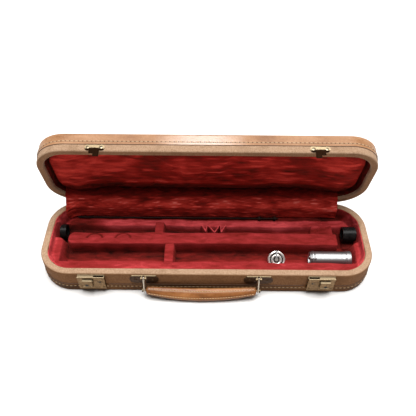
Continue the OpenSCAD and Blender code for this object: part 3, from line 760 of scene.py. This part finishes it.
def torn_fold():
    """A loose zigzag of plush that stands in the rear slot."""
    bars = [FOLDS[0][0], FOLDS[1][0]]
    low_y, high_y = FOLDS[0][1], FOLDS[1][1]
    turns = len(FOLD_SHIFT)
    corners_x = np.linspace(bars[0] - 2 * MM, bars[1] + 2 * MM, turns) + np.array(FOLD_SHIFT) * MM
    corners_y = np.where(np.arange(turns) % 2, low_y + 3.5 * MM, high_y - 3 * MM)
    nu, nv = 160, 12
    s = np.linspace(0, turns - 1, nu)
    x = np.interp(s, np.arange(turns), corners_x)
    y = np.interp(s, np.arange(turns), corners_y) + 0.9 * MM * np.sin(s * 3.3 + 0.6)
    for _ in range(8):
        y[1:-1] = 0.25 * y[:-2] + 0.5 * y[1:-1] + 0.25 * y[2:]
    top_z = FOLDS[1][2] - 0.4 * MM + 0.5 * MM * np.sin(s * 2.1)
    up = np.linspace(0, 1, nv)[None, :]
    z = FLOOR_Z + 0.6 * MM + (top_z[:, None] - FLOOR_Z) * up
    lean = 1.2 * MM * up**2 * np.cos(s * 1.7)[:, None]
    grid = np.stack([x[:, None] + lean, y[:, None] + 0 * up, z], -1)
    # lighter towards its top: painted light above, painted shade at its foot in the slot
    piece = slab_from_grid("torn_fold", grid, 1.2 * MM, BASE_PLUSH, 0.30 + 1.0 * np.repeat(up, nu, 0))
    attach(piece, "base")
    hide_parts("slot_bridge_middle")


torn_fold()


# ---- the lid's plush ----


def lid_plush():
    x, y, depth = inside_grid(RIM_W + 0.3 * MM, 440, 150)
    ceiling = LID_TOP - 6 * MM
    rim = RIM_Z + 5.2 * MM
    z = rim + (ceiling - rim) * ease(depth, 0, 2.2 * MM)
    at_end = ease(abs(x), 120 * MM, 180 * MM)
    crown = (6 + 4.5 * at_end) * MM * ease(depth, 2.2 * MM, 6.5 * MM)
    crown = crown + 2.5 * MM * ease(depth, 6 * MM, 34 * MM)
    inner = ease(depth, 5 * MM, 12 * MM)
    z = z - crown + 0.9 * MM * waves(x, y, 26 * MM, 11, stretch=3) * inner
    z = z + 0.3 * MM * waves(x, y, 8 * MM, 12, stretch=3) * inner
    top = open_lid(np.stack([x, y, z], -1))[:, ::-1]
    top = top + cloth_pass(top, 1.3 * MM, 0.06)
    # painted shade in the gap round the pad, along its top edge and at its foot by the hinge; lighter at
    # the left end, with streaks of painted highlight
    fresh_and_lit = 0.43 * ease(depth, 2.8 * MM, 6 * MM)
    fresh_and_lit = fresh_and_lit + 0.26 * (1 - ease(x, -170 * MM, -110 * MM)) * inner
    fresh_and_lit = fresh_and_lit + 0.30 * waves(x, y, 34 * MM, 13, stretch=2.0) * inner
    fresh_and_lit = fresh_and_lit + 0.9 * np.maximum(waves(x, y, 10 * MM, 15, stretch=3) - 0.45, 0) * inner
    fresh_and_lit = fresh_and_lit + 0.17 * waves(x, y, 8 * MM, 14, stretch=3) * inner
    left_end = 1 - ease(x, -160 * MM, -120 * MM)
    away_from_front = np.maximum(ease(y, -44 * MM, -24 * MM), 0.8 * left_end)
    fresh_and_lit = fresh_and_lit * (0.25 + 0.75 * away_from_front)
    fresh_and_lit = fresh_and_lit * (1 - 0.9 * ease(y, 28 * MM, 36 * MM))
    pad = slab_from_grid("lid_plush", top, 0.9 * MM, LID_PLUSH, np.clip(fresh_and_lit, 0, 1)[:, ::-1])
    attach(pad, "lid")
    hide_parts("lid_pad", "lid_wall_lining")


lid_plush()


# ---- the lining that crosses the hinge ----


def gusset_column(x, base_line, lid_line, count):
    """Points of the strip at one x, from the base's wall to the lid's, and their length."""
    arc = HALF_W - CORNER_R
    over = max(abs(x) - (HALF_L - CORNER_R), 0)

    def on_corner(line):
        y = arc + np.sqrt(np.maximum((line[:, 0] - arc) ** 2 - over**2, 0))
        return np.column_stack([np.full(len(y), x), y, line[:, 1]])

    lower, upper = on_corner(base_line), open_lid(on_corner(lid_line))
    middle = (lower[-1] + upper[0]) / 2 + np.array([0, 1.6, 0]) * MM
    path = np.concatenate([lower, middle[None], upper])
    knots = np.concatenate([[0], np.cumsum(np.linalg.norm(np.diff(path, axis=0), axis=1))])
    s = np.linspace(0, knots[-1], count)
    line = np.stack([np.interp(s, knots, path[:, i]) for i in range(3)], -1)
    for _ in range(5):
        line[1:-1] = 0.25 * line[:-2] + 0.5 * line[1:-1] + 0.25 * line[2:]
    return line, knots[-1]


def gusset():
    """One strip of plush from the base's back wall, over both rims, into the lid."""
    low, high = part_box("base_gusset")
    nu, nv = 320, 64
    xs = np.linspace(low.x, high.x, nu)
    # y and z of the strip in the middle of the closed case
    base_line = np.array([[46.9, 20.0], [46.9, 28.5], [47.4, 36.9]]) * MM
    lid_line = np.array([[47.3, 37.6], [47.1, 46.0], [47.0, 56.0]]) * MM
    columns, lengths = zip(*(gusset_column(x, base_line, lid_line, nv) for x in xs))
    top = np.array(columns)
    x, s = np.meshgrid(xs, np.linspace(0, 1, nv) * np.mean(lengths), indexing="ij")
    loose = np.sin(np.linspace(0, math.pi, nv))[None, :] ** 0.6
    fold = 0.42 * waves(x, s, 13 * MM, 21, stretch=5) + 0.26 * waves(x, s, 4.5 * MM, 22, stretch=4)
    fold = fold * MM * loose
    top[..., 1] -= 0.6 * fold
    top[..., 2] += 0.6 * fold
    top = top + cloth_pass(top, 0.7 * MM, 0.04, coarse=(170, 24))
    # streaks of painted highlight, painted shade where it runs into the lid and at its foot, lighter to
    # the right, and darker over the two hinges
    fresh_and_lit = 0.56 + 0.32 * waves(x, s, 12 * MM, 23, stretch=4) + 0.12 * waves(x, s, 4 * MM, 24, stretch=5)
    fresh_and_lit = fresh_and_lit + 1.1 * np.maximum(waves(x, s, 3.5 * MM, 25, stretch=5) - 0.35, 0)
    fresh_and_lit = fresh_and_lit + 0.12 * ease(x, 50 * MM, 150 * MM)
    up = np.linspace(0, 1, nv)[None, :]
    fresh_and_lit = fresh_and_lit * (1 - 0.75 * ease(up, 0.56, 0.72)) * (0.55 + 0.45 * ease(up, 0.05, 0.35))
    for side in (-1, 1):
        mark = np.exp(-(((x - side * 90 * MM) / (9 * MM)) ** 2) - ((up - 0.5) / 0.10) ** 2)
        fresh_and_lit = fresh_and_lit * (1 - 0.85 * mark)
    piece = slab_from_grid("hinge_lining", top, 0.5 * MM, GUSSET_PLUSH, np.clip(fresh_and_lit, 0, 1.6))
    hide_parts("base_gusset", "lid_gusset")
    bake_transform(piece)


gusset()


# ---- painted shade in the holes in the latches ----


DARK_HOLE_R = 2.2 * MM
KEYHOLE_FROM_OUTER, KEYHOLE_Z = 26 * MM, 25.2 * MM
BUTTON_HOLE_FROM_OUTER, BUTTON_HOLE_Z = 4.8 * MM, 21.6 * MM


def dark_hole(name, body, centre, radius):
    """A shallow dark dish of painted shade, facing the front, that marks a round hole in a latch."""
    sides, rings = 32, 4
    verts = []
    for k in range(rings):
        share = 1 - k / rings
        for a in 2 * math.pi * np.arange(sides) / sides:
            sink = 0.25 * MM * (1 - share**2)
            verts.append((centre[0] + radius * share * math.cos(a), centre[1] + sink,
                          centre[2] + radius * share * math.sin(a)))
    faces = grid_faces(rings, sides, closed_v=True)
    faces.append(tuple((rings - 1) * sides + k for k in range(sides)))
    hole = new_object(name, verts, faces, HOLE_SHADE)
    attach(hole, body)


def latch_holes():
    """A dark disc of painted shade in each latch plate's keyhole, and one in each sliding button."""
    for side, mirror in (("left", -1), ("right", 1)):
        plate = corners(f"latch_plate_{side}")
        button = corners(f"latch_button_{side}")
        plate_x = mirror * (max(mirror * plate[0][0], mirror * plate[1][0]) - KEYHOLE_FROM_OUTER)
        button_x = mirror * (max(mirror * button[0][0], mirror * button[1][0]) - BUTTON_HOLE_FROM_OUTER)
        dark_hole(f"keyhole_{side}", "base",
                  (plate_x, plate[0][1] + 0.70 * MM, KEYHOLE_Z), DARK_HOLE_R)
        dark_hole(f"button_hole_{side}", f"latch_{side}",
                  (button_x, button[0][1] + 0.60 * MM, BUTTON_HOLE_Z), DARK_HOLE_R)


latch_holes()


# ---- the silver barrel ----


def lathe(name, profile, axis_y, axis_z, material, sides=96):
    """Turns a closed profile of (x, radius) round the line along x at y and z."""
    turn = 2 * math.pi * np.arange(sides) / sides
    verts = [(x, axis_y + r * math.cos(a), axis_z + r * math.sin(a)) for x, r in profile for a in turn]
    faces = grid_faces(len(profile), sides, closed_u=True, closed_v=True)
    return new_object(name, verts, faces, material)


def finely(profile, step=2.4 * MM):
    """The profile with points added along its long runs, and close by its corners."""
    out = []
    for a, b in zip(profile, profile[1:] + profile[:1]):
        a, b = np.array(a), np.array(b)
        length = np.linalg.norm(b - a)
        inset = min(0.06 * MM, 0.3 * length) / max(length, 1e-9)
        count = max(2, int(length / step))
        out += [a + (b - a) * t for t in np.linspace(inset, 1 - inset, count)]
    return out


def barrel():
    tube_low, tube_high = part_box("barrel_tube")
    ring_low, ring_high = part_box("barrel_rings")
    y, z = (ring_low.y + ring_high.y) / 2, (ring_low.z + ring_high.z) / 2
    left, right = tube_low.x, tube_high.x
    wall = 0.8 * MM
    r, ring = (tube_high.y - tube_low.y) / 2, (ring_high.y - ring_low.y) / 2
    start = ring_low.x
    profile = [
        (left, r - wall), (left, r - 0.5 * MM), (start, r - 0.5 * MM),
        (start, ring - 0.2 * MM), (start + 2.2 * MM, ring - 0.2 * MM), (start + 2.3 * MM, r),
        (right - 8.2 * MM, r), (right - 8.0 * MM, r + 0.25 * MM), (right - 7.2 * MM, r + 0.25 * MM),
        (right - 7.0 * MM, r), (right - 6.2 * MM, r), (right - 6 * MM, ring - 0.1 * MM),
        (right - 5.4 * MM, ring), (right - 0.6 * MM, ring), (right, ring - 0.4 * MM), (right, r - wall),
    ]
    piece = lathe("barrel_silver", finely(profile), y, z, SILVER)
    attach(piece, "barrel")
    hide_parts("barrel_tube", "barrel_rings")


barrel()


# ---- stitching and edges of the binding ----


def stitch_run(name, body, points, normals, tangent, length, width, proud, material):
    """A row of short threads: points are their middles, normals point off the surface."""
    sides, rings = 8, 5
    verts, faces = [], []
    for p, n, t in zip(points, normals, tangent):
        side = np.cross(n, t)
        start = len(verts)
        for i in range(rings):
            a = math.pi * i / (rings - 1)
            along, fat = -math.cos(a) * length / 2, max(math.sin(a), 0.25)
            rise = proud * math.sin(a) - 0.2 * MM
            for k in range(sides):
                b = 2 * math.pi * k / sides
                verts.append(p + t * along + n * (rise + math.sin(b) * width * 0.5 * fat)
                             + side * math.cos(b) * width * 0.5 * fat)
        for i in range(rings - 1):
            for k in range(sides):
                m = (k + 1) % sides
                faces.append((start + i * sides + k, start + i * sides + m,
                              start + (i + 1) * sides + m, start + (i + 1) * sides + k))
        faces.append(tuple(start + k for k in reversed(range(sides))))
        faces.append(tuple(start + (rings - 1) * sides + k for k in range(sides)))
    piece = new_object(name, verts, faces, material)
    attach(piece, body)
    return piece


def ring_of(z, inset, count, up=0.0, closed_lid=False):
    """Points, outward or upward normals, and tangents round the case at a height."""
    p, n = outline(inset, count)
    points = np.column_stack([p, np.full(count, z)])
    normals = np.column_stack([n * (1 - abs(up)), np.full(count, up)])
    tangents = np.column_stack([-n[:, 1], n[:, 0], np.zeros(count)])
    if closed_lid:
        ends = open_lid(points + normals), open_lid(points + tangents)
        points = open_lid(points)
        normals, tangents = ends[0] - points, ends[1] - points
    return points, normals, tangents


LATCH_X = 141.5 * MM
STITCH_PITCH = 4.8 * MM
STITCHED_LENGTH = 950 * MM
BASE_STITCH_Z, LID_STITCH_Z = 10.2 * MM, RIM_Z + 14.0 * MM
STITCH_INSET = 11.5 * MM


def beside_latches(points, reach):
    """Which points on the front lie within reach of a latch's middle."""
    return (abs(abs(points[:, 0]) - LATCH_X) < reach) & (points[:, 1] < -50 * MM)


def stitching():
    """Four rows of thread through the bindings, with a dark mark of painted shade for the hole between
    each two stitches.
    """
    count = int(STITCHED_LENGTH / STITCH_PITCH)
    on_wall = -0.6 * MM
    rows = [
        ("lid_wall", "lid", LID_STITCH_Z, on_wall, 0.0, THREAD),
        ("lid_top", "lid", LID_TOP, STITCH_INSET, 1.0, THREAD),
        ("base_wall", "base", BASE_STITCH_Z, on_wall, 0.0, THREAD_DARK),
        ("base_bottom", "base", 0.35 * MM, STITCH_INSET, -1.0, THREAD_DARK),
    ]
    for name, body, z, inset, up, material in rows:
        is_lid = body == "lid"
        under = up < 0
        kinds = [
            ("stitches_", ring_of(z, inset, count, up, is_lid), 3.3 * MM, 1.3 * MM, 0.35 * MM, material),
            ("stitch_holes_", [part[1::2] for part in ring_of(z, inset, count * 2, up, is_lid)],
             1.6 * MM, 1.4 * MM, 0.1 * MM, STITCH_HOLE_SHADE),
        ]
        for start, ring, length, width, proud, look in kinds:
            clear = np.ones(count, bool)
            if name == "base_wall":
                clear = ~beside_latches(ring[0], 17.5 * MM)
            points, normals, tangents = (part[clear] for part in ring)
            stitch = stitch_run(start + name, body, points, normals, tangents,
                                length, width, 0.0 if under else proud, look)


stitching()


def binding_edge(name, body, path, closed):
    edge = tube(name, path, 0.42 * MM, EDGE, 8, closed=closed)
    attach(edge, body)


def binding_edges():
    """The stained cut edge of the leather, where it lies over the cloth."""
    outside = -0.3 * MM
    lid_path, _, _ = ring_of(LID_TOP - 16 * MM, outside, 360, 0.0, True)
    binding_edge("binding_edge_lid", "lid", lid_path, True)
    base_path, _, _ = ring_of(14.6 * MM, outside, 360)
    base_path = base_path[~beside_latches(base_path, 17.2 * MM)]
    # the latches part the base's edge, and the ring's two ends are one run
    gap = 8 * MM
    parted = np.linalg.norm(np.diff(base_path, axis=0), axis=1) > gap
    runs = np.split(base_path, np.nonzero(parted)[0] + 1)
    if np.linalg.norm(runs[-1][-1] - runs[0][0]) < gap:
        runs = [np.concatenate([runs[-1], runs[0]])] + runs[1:-1]
    for i, run in enumerate(runs):
        binding_edge(f"binding_edge_base_{i}", "base", run, False)


binding_edges()


# ---- the leather grip ----


GRIP = corners("handle_grip")
GRIP_MIDDLE = (GRIP[0][0] + GRIP[1][0]) / 2
GRIP_HALF = (GRIP[1][0] - GRIP[0][0]) / 2
GRIP_PIN = np.array(next(j for j in frame["joints"] if j["name"] == "grip_pivot")["pos_m"])
GRIP_TILT, BOW_TILT = math.radians(49), math.radians(31)
GRIP_BOW = 5.4 * MM
BOW_WAY = np.array([0, -math.sin(BOW_TILT), -math.cos(BOW_TILT)])
GRIP_WIDE = np.array([0, math.sin(GRIP_TILT), math.cos(GRIP_TILT)])
GRIP_THICK = np.array([0, -math.cos(GRIP_TILT), math.sin(GRIP_TILT)])
GRIP_SEAMS = tuple(math.radians(a) for a in (62, 118, -62, -118))


def grip_point(s, a, grow=0.0):
    """A point on the grip: s runs from -1 to 1 along it, and a is the angle round it."""
    body = 1 - s * s
    end = math.sqrt(max(1 - (max(abs(s) - 0.955, 0) / 0.046) ** 2, 0.02))
    half_width = ((4.9 + 3.1 * body) * end + grow) * MM
    half_thick = ((4.1 + 0.2 * body) * end + grow) * MM
    centre = np.array([GRIP_MIDDLE + s * GRIP_HALF, GRIP_PIN[1], GRIP_PIN[2]]) + GRIP_BOW * body * BOW_WAY
    c, d = math.cos(a), math.sin(a)
    across = math.copysign(abs(c) ** 0.85, c) * half_width
    over = math.copysign(abs(d) ** 0.75, d) * half_thick
    return centre + across * GRIP_WIDE + over * GRIP_THICK


def grip():
    """The leather grip: flat, bowed, and rounded at its ends."""
    nu, nv = 260, 64
    turns = 2 * math.pi * np.arange(nv) / nv
    verts = np.array([grip_point(-1 + 2 * i / (nu - 1), a) for i in range(nu) for a in turns])
    along = verts[:, 0]
    turn = np.tile(turns, nu)
    around = turn * 6 * MM
    crease = waves(along, around, 5 * MM, 31, stretch=0.5)
    lump = 0.16 * MM * waves(along, around, 11 * MM, 32) - 0.22 * MM * np.maximum(crease - 0.55, 0)
    # a groove inside each stitched seam
    for seam in GRIP_SEAMS:
        gap = np.abs(np.angle(np.exp(1j * (turn - seam))))
        lump = lump - 0.35 * MM * np.exp(-((gap / 0.09) ** 2))
    normal = np.outer(np.sin(turn), GRIP_THICK) + np.outer(np.cos(turn), GRIP_WIDE)
    verts = verts + normal * lump[:, None]
    faces = grid_faces(nu, nv, closed_v=True)
    faces += [tuple(reversed(range(nv))), tuple((nu - 1) * nv + k for k in range(nv))]
    piece = new_object("grip_leather", verts, faces, GRIP_LEATHER)
    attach(piece, "handle_grip")
    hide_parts("handle_grip")


def grip_stitches():
    """A row of thread along each of the grip's seams."""
    spots = np.linspace(-0.93, 0.93, 40)
    for number, seam in enumerate(GRIP_SEAMS):
        points = np.array([grip_point(s, seam, 0.25) for s in spots])
        ahead = np.array([grip_point(s + 0.002, seam, 0.25) for s in spots]) - points
        ahead /= np.linalg.norm(ahead, axis=1, keepdims=True)
        out = math.sin(seam) * GRIP_THICK + math.cos(seam) * GRIP_WIDE * 0.5
        out = np.repeat((out / np.linalg.norm(out))[None], len(spots), 0)
        stitch = stitch_run(f"grip_stitches_{number}", "handle_grip", points, out, ahead,
                            1.9 * MM, 1.0 * MM, 0.45 * MM, THREAD_PALE)


grip()
grip_stitches()


# ---- floor, light and camera ----


def floor():
    mesh = bpy.data.meshes.new("floor")
    size = 4.0
    sheet = [(-size, -size, 0), (size, -size, 0), (size, size, 0), (-size, size, 0)]
    mesh.from_pydata(sheet, [], [(0, 1, 2, 3)])
    s = Shader("floor_pale", 0.9)
    s.bsdf.inputs["Base Color"].default_value = (0.66, 0.66, 0.66, 1)
    mesh.materials.append(s.material)
    piece = bpy.data.objects.new("floor", mesh)
    piece.location.z = -0.05 * MM
    bpy.context.scene.collection.objects.link(piece)


def studio():
    """A broad soft light from above, and a weak warm fill from all round."""
    sky = bpy.data.lights.new("soft_overhead", "SUN")
    sky.energy = 7.0
    sky.angle = math.radians(44)
    sky.color = (1.0, 0.985, 0.965)
    lamp = bpy.data.objects.new("soft_overhead", sky)
    lamp.rotation_euler = Vector((0.04, 0.03, 1)).to_track_quat("Z", "Y").to_euler()
    bpy.context.scene.collection.objects.link(lamp)
    world = bpy.data.worlds.new("studio_world")
    world.use_nodes = True
    world.node_tree.nodes["Background"].inputs["Color"].default_value = (1, 0.9, 0.8, 1)
    world.node_tree.nodes["Background"].inputs["Strength"].default_value = 0.12
    bpy.context.scene.world = world


CAMERA_PLACE = (1.3 * MM, -394.5 * MM, 551.8 * MM)
CAMERA_PITCH = 49.32      # degrees below the horizon
CAMERA_ROLL = 0.49
CAMERA_LENS = 43.25       # mm, on a sensor 36 mm wide
SENSOR = 36.0


def camera():
    data = bpy.data.cameras.new("camera")
    data.sensor_width = SENSOR
    data.lens = CAMERA_LENS
    data.clip_start = 0.01
    cam = bpy.data.objects.new("camera", data)
    turn = Matrix.Rotation(math.radians(90 - CAMERA_PITCH), 4, "X")
    roll = Matrix.Rotation(math.radians(CAMERA_ROLL), 4, "Z")
    cam.matrix_world = Matrix.Translation(CAMERA_PLACE) @ turn @ roll
    bpy.context.scene.collection.objects.link(cam)
    bpy.context.scene.camera = cam


floor()
studio()
camera()
bpy.context.scene.view_settings.view_transform = "Standard"
